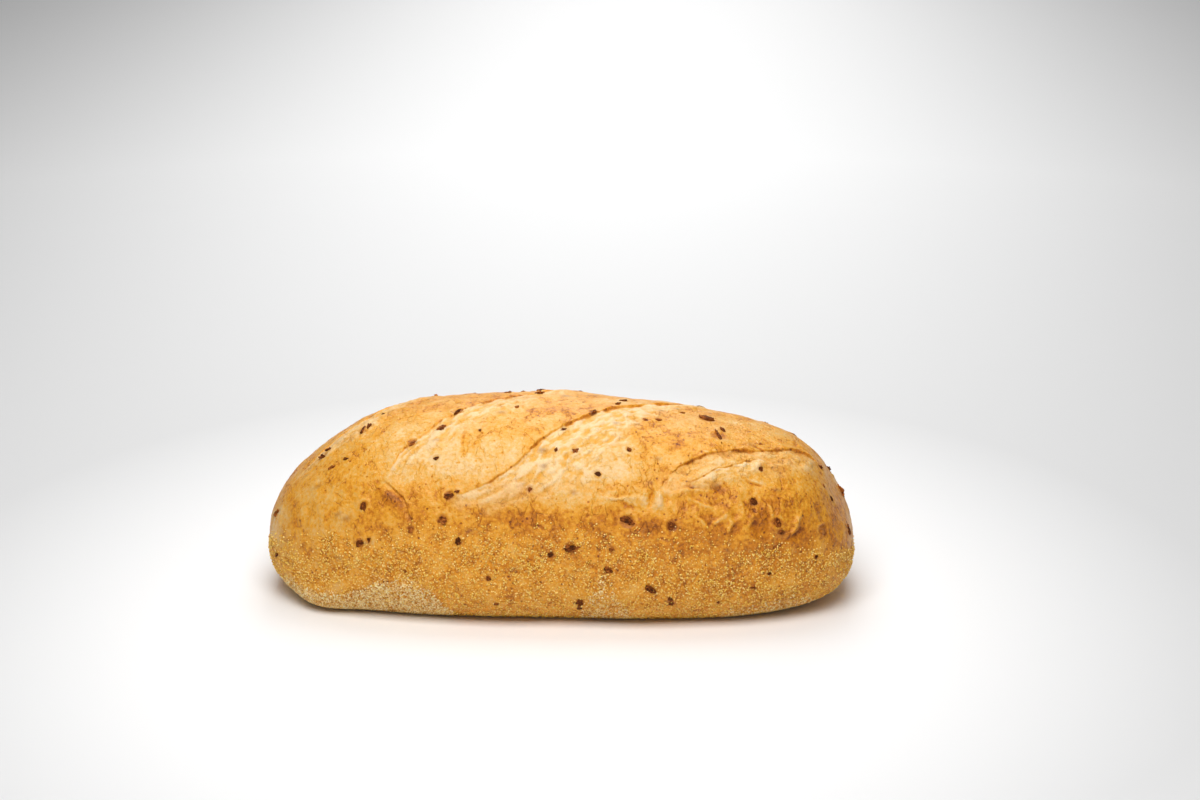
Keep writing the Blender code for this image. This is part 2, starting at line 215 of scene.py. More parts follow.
# Rings left by burst bubbles: x, arc, radius
RINGS = (
    (15, -42, 2.2), (26, -37, 2.6), (26, -45.5, 2.0), (106, -28, 2.2),
    (124, -69, 1.8), (-30, -8, 2.0), (38, -22, 1.8),
)
RING_DEPTH = 0.22 * MM
RING_WIDTH = 0.55 * MM

# How browned the crust is: x, arc, reach along, reach round, change. A few patches paint light
# and shade instead of browning, marked below
BAKED_EVENLY = 0.5
BAKE_AND_LIGHT_PATCHES = (
    (-60, -68, 45, 12, 0.08), (40, -79, 60, 10, 0.17), (34, -68, 26, 5, -0.08),
    # The patches at x 134 and 122 are painted shade on the right end
    (106, -70, 22, 14, 0.12), (134, -40, 10, 50, 0.08), (122, -50, 12, 20, 0.08),
    # Painted light on the left end at x -112 and -108, and a painted reflection on its rim at -134
    (-112, -62, 18, 26, -0.07), (-108, -94, 18, 14, -0.05), (-134, -76, 8, 40, -0.2),
    (-90, -22, 16, 14, -0.08), (-70, -24, 12, 14, -0.14), (-36, -44, 28, 13, -0.28),
    (-72, -48, 10, 12, -0.12), (-18, -64, 14, 5, 0.11), (-26, 2, 18, 8, 0.06),
    (4, -10, 12, 6, 0.07), (44, -58, 13, 5, 0.13), (26, 4, 14, 6, -0.12),
    (-30, -17, 9, 9, -0.10), (62, 24, 14, 8, -0.12), (-72, 22, 14, 6, -0.10),
    (-44, -54, 15, 5, -0.2), (-80, -38, 5, 12, -0.08), (41, -65, 12, 4, -0.14),
    (84, -49, 20, 4, -0.10), (-10, -70, 20, 4, -0.16), (-127, -66, 7, 22, 0.08),
    (88, -71, 14, 5, 0.06), (-121, -44, 9, 30, 0.05), (26, -48, 24, 14, -0.28),
    (58, -8, 12, 10, -0.06), (20, -56, 22, 7, -0.10), (92, 4, 22, 12, -0.10),
    # The patches at x 78 and 120 are painted shade on the right side
    (0, -104, 130, 22, 0.05), (78, -98, 40, 18, 0.11), (120, -96, 14, 20, 0.06),
    (62, -30, 14, 8, 0.08), (32, -62, 22, 4, 0.06), (97, -62, 14, 10, 0.07),
    (-77, -59, 7, 4, -0.08), (-36, -19, 12, 6, -0.08), (44, 8, 16, 8, -0.06),
    (88, -42, 12, 4, -0.12), (118, -24, 16, 6, -0.06),
)

# The browned band of the back, sized the same way, and how softly it starts behind the crown
BACK_BAND = (0, 74, 110, 24)
BACK_BLEND = 40 * MM

# Corn meal: where it starts on the sides and how soon it is thick, and the pale drifts above the
# base: how thick they are, and the line of places (x, arc) that they lie under
MEAL_STARTS = 74 * MM
MEAL_BLEND = 22 * MM
MEAL_DRIFTS = (
    (
        1.0,
        (
            (-131, -126), (-126, -112), (-121, -117), (-98, -115),
            (-81, -104), (-68, -104), (-58, -110), (-48, -126),
        ),
    ),
    (0.3, ((12, -126), (18, -108), (24, -98), (30, -110), (36, -126))),
    (0.25, ((76, -126), (94, -118), (114, -118), (122, -126))),
    (0.6, ((40, 126), (52, 110), (70, 106), (96, 117), (104, 126))),
    (0.6, ((-90, 126), (-76, 112), (-60, 117), (-50, 126))),
)
DRIFT_EDGE = 7 * MM

# Grains lie in clumps of this size and above this level, and with flour on them they are larger
CLUMP_SIZE = 2.2 * MM
LOWEST_GRAIN = 0.3 * MM
FLOURED_SIZE = 1.15

# Onion flakes on the front: x, arc, length, width, and the turn in degrees
FRONT_FLAKES = (
    (70, -1, 9.0, 5.4, -6), (34, -76.5, 7.4, 3.2, -20), (8, -90, 7.4, 3.0, 0),
    (-92, -14, 7.6, 1.8, 76), (-112, -20, 6.4, 2.6, -38), (-48, -12, 7.0, 2.0, 60),
    (-54, -26, 5.9, 2.6, 33), (-51, -76, 5.4, 3.6, 0), (12, -119, 5.4, 4.0, 66),
    (44, -109, 5.4, 3.0, -35), (54, -118, 4.9, 3.6, -57), (54, -77, 4.8, 3.8, 94),
    (-48, -65, 5.4, 2.6, 10), (75, -21, 11.0, 2.0, -76), (102, -69, 4.4, 3.5, 100),
    (-90, -86, 4.6, 3.0, 23), (-88, -66, 4.4, 2.9, 86), (-134, -51, 4.4, 3.0, -66),
    (25, -100, 4.5, 3.0, 0), (-89, -12, 5.0, 1.6, 73), (30, 9, 4.6, 2.0, 40),
    (27, 1, 4.4, 2.0, 50), (-106, -36, 4.6, 2.0, 4), (-67, -34, 5.6, 1.6, 50),
    (138, -50, 5.4, 3.2, 85), (-11, 12, 4.4, 2.2, 8), (-26, 14, 4.2, 1.8, -10),
    (58, 2, 4.0, 1.8, 10), (91, -60, 4.2, 2.9, -42), (-44, -87, 4.3, 2.7, 75),
    (-66, -80, 3.6, 3.4, 29), (16, -13, 3.8, 2.0, 50), (27, -90, 4.2, 2.0, -15),
    (-1, -93, 3.6, 2.9, 4), (20, -55, 3.4, 3.3, 6), (9, -43, 3.4, 3.0, 90),
    (41, -15, 3.4, 2.3, 94), (47, -13, 3.6, 2.4, -11), (34, -40, 3.0, 2.5, 90),
    (-55, -46, 3.6, 2.4, -4), (-30, -105, 3.1, 2.7, -22), (-27, -120, 3.6, 2.4, 15),
    (-11, -63, 3.1, 2.8, 4), (3, -29, 3.3, 2.0, 23), (110, 25, 3.2, 2.4, 16),
    (94, -40, 2.9, 2.3, 80), (-134, -102, 3.4, 2.6, 52), (124, -29, 3.2, 2.5, 65),
    (129, -31, 3.4, 2.8, 69), (92, -108, 2.8, 2.5, -6),
)

# Flakes too small for the solid, sized the same way
SMALL_FLAKES = (
    (-99, -34, 4.1, 1.4, -21), (-84, 0, 2.3, 1.4, 10), (-69, -102, 2.3, 1.9, 0),
    (8, 26, 2.5, 1.4, 10), (-20, -11, 2.4, 1.4, 22), (-36, -30, 1.9, 1.9, -4),
    (0, -43, 2.2, 2.4, 0), (77, -13, 5.5, 1.5, -62), (94, -19, 2.2, 1.9, 29),
    (122, -10, 2.5, 2.9, 74), (99, -100, 2.7, 1.9, -6), (76, -118, 2.4, 1.9, -4),
    (121, -89, 2.4, 2.4, 0), (-85.5, -84.6, 3.0, 2.2, 40), (53.5, -115, 3.4, 2.6, -57),
    (11.5, -123.5, 3.6, 2.6, 66), (-109.5, -16, 4.2, 2.6, -10), (-44.6, -63.4, 2.8, 1.5, 25),
    (104, -74.5, 3.2, 2.4, 20),
)

# Flakes under the skin, which only show through it: x, arc, radius
BURIED_FLAKES = (
    (-112, -47, 2.2), (-96, -72, 2.6), (-100, -69, 2.0), (-86, -86, 2.2), (-19, -101, 2.0),
    (-39, -82, 1.8), (-56, -35, 1.8), (-27, -16, 2.0), (2, 8, 2.4), (-5, -52, 1.7),
    (-4, -92, 1.8), (9, -64, 1.6), (27, -22, 1.8), (47, -44, 1.6), (44, -57, 1.5),
    (40, -90, 1.6), (90, -22, 2.2), (80, -88, 2.0), (-120, -30, 1.6), (-128, -84, 1.8),
    (-108, -98, 1.7), (48, 0, 1.6), (55, 6, 1.6), (-79, 20, 2.0), (25, 45, 2.2),
    (92, 55, 2.0), (-38, 66, 2.2), (60, 84, 2.0), (-100, 48, 1.8), (130, -21, 2.0),
    (101, -51, 1.8), (-6, -43, 2.4), (-100, -95, 2.4), (103, -75, 3.0),
)

# Flakes on the back are drawn between these arcs, apart from each other
BACK_FLAKES = 58
BACK_ARC = (24 * MM, 122 * MM)
BACK_SHARE = 0.97
BACK_LENGTH = (2.8 * MM, 7.0 * MM)
BACK_SLIMNESS = (0.4, 0.8)
LEAST_WIDTH = 1.8 * MM
FLAKE_GAP = 9 * MM
LOWEST_FLAKE = 9 * MM
SEED = 27

# Flakes longer than the first length have splinters, unless they are slimmer than the second
LARGE_FLAKE = 4.2 * MM
SLIM_FLAKE = 2.4 * MM

# Towards the crown flakes stand up more: from this arc on, how softly, and by which share
STANDING_STARTS = -34 * MM
STANDING_BLEND = 24 * MM
STANDING_WIDE = 0.9
STANDING_SLIM = 0.2

# The skin round a flake stands up in a ridge, and over a buried one it rises
RIDGE_HEIGHT = 0.35 * MM
RIDGE_WIDTH = 0.8 * MM
BURIED_RISE = 0.25 * MM

# For finding the crust over a place: steps along it and round it, and the height to look from
SMALL_SHARE = 0.004
SMALL_ARC = 0.5 * MM
LOOK_HEIGHT = 20 * MM

# Softboxes: place, target, width and depth
KEY_LIGHT = ((-0.015, 1.41, 0.6), (-0.015, 1.41, 0), 0.53, 2.83)
FILL_LIGHT = ((-0.01, -0.4, 0.62), (0, 0, 0.03), 0.5, 0.4)

# Floor: its radius, and the distances from the loaf at which its paint is white, greyer and white
# again: a painted pool of light round the loaf and painted falloff beyond it
FLOOR_RADIUS = 6
FLOOR_PAINTED_FALLOFF = (0.12, 0.32, 1.0)

# Camera: how far round and up it stands, how far from a place over the origin, and how far that
# place lies left of the picture's middle and below it
CAMERA_AZIMUTH = math.radians(3.5)
CAMERA_ELEVATION = math.radians(20)
CAMERA_DISTANCE = 1.2
LOOKED_AT = (0, 0, 45 * MM)
LEFT_OF_MIDDLE = 18.9 * MM
BELOW_MIDDLE = 46.4 * MM
SENSOR_WIDTH = 36
LENS = 74.7


def hex_colour(text):
    """An sRGB hex colour as linear red, green and blue."""
    channels = [int(text[i : i + 2], 16) / 255 for i in (1, 3, 5)]
    return tuple(c / 12.92 if c <= 0.04045 else ((c + 0.055) / 1.055) ** 2.4 for c in channels)


def smooth(share):
    """Eases from 0 to 1."""
    share = np.clip(share, 0, 1)
    return share * share * (3 - 2 * share)


def peak(away, power=2):
    """A soft peak of height 1, or with a higher power a flatter one."""
    return np.exp(-(away**power))


def section(angle):
    """A point on the unit cross-section in the direction of an angle, 90 degrees at the crown."""
    across = np.cos(angle)
    up = np.sin(angle)
    roundness = np.where(up >= 0, SECTION_ROUNDNESS_ABOVE, SECTION_ROUNDNESS_BELOW)
    reach = (np.abs(across) ** roundness + np.abs(up) ** roundness) ** (-1 / roundness)
    return across * reach, up * reach


def fullness(share, roundness):
    """How much of its middle size the loaf keeps at a share of its half length."""
    left, right = roundness
    power = np.where(share < 0, left, right)
    return np.clip(1 - np.abs(share) ** power, 0, 1) ** (1 / power)


def skin(share, angle):
    """The plain loaf's surface, for shares of the half length from -1 to 1 and section angles."""
    across, up = section(angle)
    level = WIDEST_LEVEL + (WIDEST_LEVEL_AT_ENDS - WIDEST_LEVEL) * share**2
    rise = (HEIGHT - WIDEST_LEVEL) * fullness(share, CROWN_ROUNDNESS)
    drop = UNDERSIDE_DROP * fullness(share, UNDERSIDE_ROUNDNESS)
    heel = HEEL_SPREAD * peak((share - HEEL_PLACE) / HEEL_REACH)
    heel = np.where((across < 0) & (up < 0), heel * up**2, 0)
    x = HALF_LENGTH * share
    y = HALF_WIDTH * fullness(share, PLAN_ROUNDNESS) * across * (1 + heel)
    z = level + np.where(up >= 0, rise, drop) * up
    return np.stack([x, y, np.maximum(z, 0)], axis=-1)


def walked_along(curve):
    """How far along a curve each of its points lies."""
    return np.concatenate([[0], np.cumsum(np.linalg.norm(np.diff(curve, axis=0), axis=1))])


def girth_table(steps=720):
    """Section angles once round the middle, and the arc from the crown to each of them."""
    angles = np.linspace(-math.pi / 2, 1.5 * math.pi, steps + 1)
    walked = walked_along(skin(np.zeros(steps + 1), angles))
    return angles, np.interp(math.pi / 2, angles, walked) - walked


def row_table(steps=400):
    """Even parts of the way from the middle to the tip, and the share of the half length there."""
    shares = np.sin(np.linspace(0, math.pi / 2, steps + 1))
    curve = np.stack([HALF_LENGTH * shares, ROW_CURVE_HEIGHT * fullness(shares, CROWN_ROUNDNESS)], -1)
    walked = walked_along(curve)
    return walked / walked[-1], shares


GIRTH_ANGLES, GIRTH_ARCS = girth_table()
ROW_PARTS, ROW_SHARES = row_table()


def arc_of(angle):
    wrapped = (np.asarray(angle) + math.pi / 2) % (2 * math.pi) - math.pi / 2
    return np.interp(wrapped, GIRTH_ANGLES, GIRTH_ARCS)


def angle_of(arc):
    return np.interp(-np.asarray(arc), -GIRTH_ARCS, GIRTH_ANGLES)


def trace(points, steps=8):
    """A smooth line through points given in millimetres, as an array of places in metres."""
    knots = [Vector(p) * MM for p in points]
    knots = [2 * knots[0] - knots[1], *knots, 2 * knots[-1] - knots[-2]]
    line = []
    for before, start, end, after in zip(knots, knots[1:], knots[2:], knots[3:]):
        for step in range(steps):
            t = step / steps
            line.append(
                start
                + 0.5 * t * (end - before)
                + t * t * (before - 2.5 * start + 2 * end - 0.5 * after)
                + t * t * t * 0.5 * (3 * start - before - 3 * end + after)
            )
    line.append(knots[-2])
    return np.array([tuple(p) for p in line])


def follow(points, x, arc, reach):
    """The places within reach of a line through points: which they are, the nearest share of its
    length, the distance to its right, which is negative to its left, and its length."""
    line = trace(points)
    low = line.min(axis=0) - reach
    high = line.max(axis=0) + reach
    close = np.flatnonzero((x > low[0]) & (x < high[0]) & (arc > low[1]) & (arc < high[1]))
    starts = line[:-1]
    spans = line[1:] - starts
    lengths = np.linalg.norm(spans, axis=1)
    run = walked_along(line)
    away = np.stack([x[close], arc[close]], axis=-1)[:, None, :] - starts
    along = np.clip((away * spans).sum(-1) / lengths**2, 0, 1)
    gaps = np.linalg.norm(away - along[..., None] * spans, axis=-1)
    nearest = gaps.argmin(axis=1)
    rows = np.arange(len(close))
    turn = spans[nearest, 1] * away[rows, nearest, 0] - spans[nearest, 0] * away[rows, nearest, 1]
    share = (run[nearest] + along[rows, nearest] * lengths[nearest]) / run[-1]
    return close, share, np.where(turn >= 0, 1, -1) * gaps[rows, nearest], lengths.sum()


def width_along(widths, share):
    """A tear's width at a share of its length."""
    return np.interp(share, np.linspace(0, 1, len(widths)), widths) * MM


def lumps(points, size, seed, octaves=2):
    """Smooth noise, about -1 to 1, at each point, its lumps about this size."""
    shift = Vector((7.3, 3.1, 5.7)) * seed
    return np.array([noise.fractal(Vector(p) / size + shift, 1, 2, octaves) for p in points])


def places_on_cube(points):
    """Shares of the half length and section angles for points on a cube of half size 1."""
    along, across, up = np.array(points).T
    rim = np.maximum(np.abs(across), np.abs(up))
    on_cap = np.abs(along) > 1 - 1e-6
    part = np.where(on_cap, 1 - rim * (1 - CAP_START), np.abs(along) * CAP_START)
    share = np.sign(along) * np.interp(part, ROW_PARTS, ROW_SHARES)
    return share, np.arctan2(np.where(up < 0, BASE_REACH * up, up), across)


def even_cube():
    """A cube cut into even rows of faces along each of its three directions."""
    bm = bmesh.new()
    bmesh.ops.create_cube(bm, size=2)
    for axis, rows in enumerate((ROWS_ALONG, ROWS_ACROSS, ROWS_UP)):
        edges = [e for e in bm.edges if abs((e.verts[0].co - e.verts[1].co)[axis]) > 1e-6]
        bmesh.ops.subdivide_edges(bm, edges=edges, cuts=rows - 1, use_grid_fill=True)
    return bm


def coarsen_base(bm):
    """Joins the rows of faces on the flat base, where nothing shows."""
    level = skin(*places_on_cube([v.co for v in bm.verts]))[:, 2]
    bm.verts.index_update()
    joined = []
    for edge in bm.edges:
        if any(level[v.index] > 0 for face in edge.link_faces for v in face.verts):
            continue
        start, end = (v.co for v in edge.verts)
        across_x = abs(start.x - end.x) < 1e-6
        row = (start.x + 1) / 2 * ROWS_ALONG if across_x else (start.y + 1) / 2 * ROWS_ACROSS
        if round(row) % BASE_ROWS:
            joined.append(edge)
    bmesh.ops.dissolve_edges(bm, edges=joined, use_verts=True)


def near_tears(x, arc, reach, whole_opening):
    """Which places lie within reach of a crack, or anywhere in its torn opening too."""
    chosen = np.zeros(len(x), bool)
    for points, widths, _ in TEARS:
        close, share, distance, _ = follow(points, x, arc, max(widths) * MM)
        width = width_along(widths, share) if whole_opening else 0
        chosen[close] |= (distance > -reach) & (distance < reach + width) & (share > 0) & (share < 1)
    return chosen


def near_wrinkles(x, arc, reach):
    """Which places lie within reach of a wrinkle or of a ring."""
    chosen = np.zeros(len(x), bool)
    for points, *_ in WRINKLES:
        close, _, distance, _ = follow(points, x, arc, reach)
        chosen[close] |= np.abs(distance) < reach
    for at_x, at_arc, radius in RINGS:
        chosen |= np.abs(np.hypot(x - at_x * MM, arc - at_arc * MM) - radius * MM) < reach / 2
    return chosen


def in_fine_area(x, arc):
    lowest, highest = FINE_BAND
    return (arc > lowest) & (arc < highest) | near_tears(x, arc, FINE_REACH, whole_opening=True)


def in_finest_area(x, arc):
    return near_tears(x, arc, FINEST_REACH, whole_opening=False) | near_wrinkles(x, arc, FINEST_REACH)


def refine(bm, chooser):
    """Splits the edges whose middles the chooser picks."""
    share, angle = places_on_cube([(e.verts[0].co + e.verts[1].co) / 2 for e in bm.edges])
    chosen = chooser(HALF_LENGTH * share, arc_of(angle))
    edges = [e for e, split in zip(bm.edges, chosen) if split]
    bmesh.ops.subdivide_edges(bm, edges=edges, cuts=1, use_grid_fill=True)


class CrustFields:
    """What the crust is like at each of its places: how high it stands, how browned it is, with
    painted light and shade mixed into the browning, how torn it is, how thick the corn meal lies,
    and where onion shows under the skin."""

    stored = ("bake", "torn", "strands", "crack", "ghost", "meal", "drift")

    def __init__(self, x, arc, points, skin_height):
        self.x = x
        self.arc = arc
        self.points = points
        self.skin_height = skin_height
        self.bake = np.full(len(x), BAKED_EVENLY)
        self.clear = np.ones(len(x))
        self.height, self.torn, self.strands, self.crack, self.ghost, self.drift = np.zeros((6, len(x)))

    def hill(self, at_x, at_arc, reach_x, reach_arc):
        """A soft hill of height 1, with its middle and reaches in millimetres."""
        across = (self.x - at_x * MM) / (reach_x * MM)
        around = (self.arc - at_arc * MM) / (reach_arc * MM)
        return np.exp(-(across**2) - around**2)

    def add_swells(self):
        for *hill, rise in SWELLS:
            self.height += rise * MM * self.hill(*hill)
        for at_x, at_arc, radius, depth, hollow_shade in DIMPLES:
            hollow = self.hill(at_x, at_arc, radius, radius)
            self.height -= depth * MM * hollow
            # Painted shade darkens the dimple's hollow
            self.bake += hollow_shade * hollow
        self.height += UNEVEN_HEIGHT * lumps(self.points, UNEVEN_SCALE, 0, octaves=1)

    def add_tear(self, points, widths, looks):
        """A lip along the crack's left, a drop at the crack and a torn floor rising to its right."""
        lip, drop, lip_shadow, pale, browned = looks
        close, share, distance, run = follow(points, self.x, self.arc, TEAR_REACH)
        distance = distance + self.ragged[close]
        width = width_along(widths, share)
        lip = lip * MM * np.exp(-np.maximum(-distance, 0) / LIP_REACH)
        opened = np.clip(distance / width, 0, 1)
        floor = TORN_SWELL * np.sin(math.pi * opened) - drop * MM * (1 - opened) ** 3
        down = np.clip(distance / WALL_WIDTH, 0, 1)
        fade = smooth(share / START_FADE) * smooth((1 - share) / END_FADE) * self.broken[close]
        self.height[close] += fade * (lip * (1 - down) + floor * down)

        edge = np.minimum(TORN_EDGE, 0.7 * width)
        bare = smooth(distance / TORN_FROM) * smooth((width - distance) / edge + self.blotched[close])
        torn = pale * bare * smooth(share / 0.05) * smooth((1 - share) / 0.08)
        self.torn[close] = np.maximum(self.torn[close], torn)
        # Beside the crack the skin is darkened: painted shade in the hollow
        self.bake[close] += browned * peak(distance / BROWNED_BESIDE - 1) * fade
        stretched = np.stack([share * run * STRAND_SHARE, distance, 0 * distance], axis=-1)
        strands = lumps(stretched, STRAND_SIZE, 3, octaves=3)
        shaggy = strands * torn / max(math.sqrt(pale), 0.1)
        self.height[close] += TORN_ROUGHNESS * shaggy
        # Raised strands are paler and the gaps darker: partly the crumb's own streaks, partly painted light
        # and shade that follow the relief
        self.bake[close] -= 0.25 * shaggy
        self.strands[close] += strands * torn
        # The crack's line is painted dark: the shadow under the lip
        painted_crack_shadow = peak((distance - 0.5 * WALL_WIDTH) / CRACK_WIDTH) * smooth(fade)
        self.crack[close] = np.maximum(self.crack[close], lip_shadow * painted_crack_shadow)

    def add_tears(self):
        """The tears, their cracks ragged, faint in places and with blotches of crust on the floor."""
        points = self.points
        self.blotched = 0.55 * lumps(points, 6 * MM, 8, octaves=3)
        self.broken = np.clip(0.85 + 0.9 * lumps(points, 9 * MM, 9), 0.25, 1.3)
        self.ragged = 0.9 * MM * lumps(points, 8 * MM, 1) + 0.4 * MM * lumps(points, 2.4 * MM, 2)
        for tear in TEARS:
            self.add_tear(*tear)

    def add_wrinkles(self):
        for points, height, width in WRINKLES:
            close, share, distance, _ = follow(points, self.x, self.arc, WRINKLE_REACH)
            fade = smooth(share * 3) * smooth((1 - share) * 3)
            crest = peak(distance / (width * MM)) * fade
            hollow = peak(distance / (width * MM) + 1.8) * fade
            self.height[close] += height * MM * (crest - 0.4 * hollow)
            # The crest is paler, partly as raised skin browned less and partly as a painted highlight, and
            # the hollow on its left is darker with painted shade; a groove has these the other way round
            self.bake[close] += np.sign(height) * (0.14 * hollow - 0.22 * crest)
        for at_x, at_arc, radius in RINGS:
            away = np.hypot(self.x - at_x * MM, self.arc - at_arc * MM)
            ring = peak((away - radius * MM) / RING_WIDTH)
            self.height -= RING_DEPTH * ring
            self.bake += 0.18 * ring

    def add_skin_texture(self):
        """Fine lumps of the skin, stronger on the shoulders, where it wrinkled as it baked."""
        points = self.points
        self.height += self.skin_height * (1 - 0.5 * self.torn) * lumps(points, SKIN_LUMPS, 4, octaves=3)
        shoulder = smooth((np.abs(self.arc) - SHOULDER_STARTS) / SHOULDER_BLEND)
        upright = points * np.array([1.0, 1.0, 0.45])
        folds = np.clip(1 - 2.4 * np.abs(lumps(upright, SKIN_LUMPS, 5)), 0, 1) - 0.4
        self.height += 0.5 * self.skin_height * shoulder * folds
        for *hill, height in CRUMPLES:
            patch = self.hill(*hill)
            self.height += height * MM * patch * folds
            # The folds' crests are paler and the ground between them darker: painted highlight and shade
            self.bake -= 0.18 * patch * folds

    def add_bake_and_painted_light(self):
        for *hill, change in BAKE_AND_LIGHT_PATCHES:
            patch = self.hill(*hill)
            self.bake += change * patch
            self.torn *= 1 - np.clip(3.5 * change, 0, 0.8) * patch
        self.bake += 0.12 * smooth(self.arc / BACK_BLEND) * self.hill(*BACK_BAND)
        self.bake += 0.08 * lumps(self.points, 17 * MM, 6)

    def add_meal(self):
        side = np.abs(self.arc)
        uneven = lumps(self.points, 12 * MM, 7)
        thick = smooth((side - MEAL_STARTS + 6 * MM * uneven) / MEAL_BLEND)
        self.meal = thick * (0.6 + 0.35 * uneven)
        for share, drift in MEAL_DRIFTS:
            xs, arcs = (np.array(values) * MM for values in zip(*drift))
            facing = np.sign(arcs[0])
            edge = np.interp(self.x, xs, arcs * facing)
            under = smooth((self.arc * facing - edge + 1.5 * MM * uneven) / DRIFT_EDGE)
            inside = (self.x > xs[0]) & (self.x < xs[-1])
            self.drift = np.maximum(self.drift, share * under * inside)
        self.meal = np.clip(np.maximum(self.meal, 0.5 * self.drift), 0, 1) * self.clear
        self.drift *= self.clear
        self.bake += 0.05 * self.meal + 0.1 * self.drift

    def add_flake_marks(self, sizes):
        """Raises the skin a little round each flake and lets the buried ones show through."""
        for x, arc, length, width, _ in sizes:
            away = np.hypot(self.x - x, self.arc - arc)
            radius = 0.25 * (length + width)
            ridge = peak((away - 1.5 * radius) / RIDGE_WIDTH)
            stained = peak(away / (1.3 * radius), 4)
            self.height += RIDGE_HEIGHT * ridge
            self.bake += 0.2 * stained - 0.12 * ridge
            self.ghost = np.maximum(self.ghost, 0.45 * stained)
            self.clear *= 1 - peak(away / (1.1 * radius), 4)
        for at_x, at_arc, radius in BURIED_FLAKES:
            spot = self.hill(at_x, at_arc, radius, 0.7 * radius)
            self.height += BURIED_RISE * spot
            self.ghost = np.maximum(self.ghost, spot)


def back_flake_sizes(draw):
    """Places and sizes of the flakes on the back, apart from each other."""
    sizes = []
    spots = []
    least, most = BACK_LENGTH
    while len(sizes) < BACK_FLAKES:
        x = draw.uniform(-BACK_SHARE, BACK_SHARE) * HALF_LENGTH
        arc = draw.uniform(*BACK_ARC)
        spot = Vector(skin(np.array([x / HALF_LENGTH]), angle_of([arc]))[0])
        if spot.z < LOWEST_FLAKE or any((spot - other).length < FLAKE_GAP for other in spots):
            continue
        length = least + (most - least) * draw.random() ** 2
        width = max(length * draw.uniform(*BACK_SLIMNESS), LEAST_WIDTH)
        spots.append(spot)
        sizes.append((x, arc, length, width, draw.uniform(0, 180)))
    return sizes


def flake_sizes():
    """Every flake that shows, in metres: those of the front, of the back and the small ones."""
    front, small = (
        [(*(size * MM for size in sizes), turn) for *sizes, turn in flakes]
        for flakes in (FRONT_FLAKES, SMALL_FLAKES)
    )
    return front + back_flake_sizes(random.Random(SEED)) + small


def mesh_of(name, bm):
    mesh = bpy.data.meshes.new(name)
    bm.to_mesh(mesh)
    bm.free()
    return mesh


def add_object(name, data):
    made = bpy.data.objects.new(name, data)
    bpy.context.scene.collection.objects.link(made)
    return made


def add_piece(name, mesh, material):
    """Makes a piece of a mesh, at the origin, riding on the loaf."""
    mesh.materials.append(material)
    piece = add_object(name, mesh)
    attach(piece, "root")
    return piece


def store(mesh, name, values):
    """Keeps one number for each vertex, for the material to read."""
    attribute = mesh.attributes.new(name, "FLOAT", "POINT")
    attribute.data.foreach_set("value", np.asarray(values, dtype=np.float32))


def add_node(tree, kind, inputs=(), stops=(), **options):
    """Adds a node with its options, and sets or links its inputs, given in their order or by name
    or number. A node given as an input is linked by its first output. A colour ramp's stops are
    given as the first, the last and those between."""
    node = tree.nodes.new("ShaderNode" + kind)
    for name, value in options.items():
        setattr(node, name, value)
    if not isinstance(inputs, dict):
        inputs = dict(enumerate(inputs))
    for key, value in inputs.items():
        if isinstance(value, bpy.types.Node):
            value = value.outputs[0]
        if isinstance(value, bpy.types.NodeSocket):
            tree.links.new(value, node.inputs[key])
        else:
            node.inputs[key].default_value = value
    for number, (place, colour) in enumerate(stops):
        stop = node.color_ramp.elements[number] if number < 2 else node.color_ramp.elements.new(place)
        stop.position = place
        stop.color = (*colour, 1)
    return node


def new_material(name):
    """A material without nodes, and the function that adds them to it."""
    material = bpy.data.materials.new(name)
    material.use_nodes = True
    material.node_tree.nodes.clear()
    return material, partial(add_node, material.node_tree)


# A Mix node's colour inputs and output, which share their names with its other kinds
MIX_A = 6
MIX_B = 7
MIX_RESULT = 2


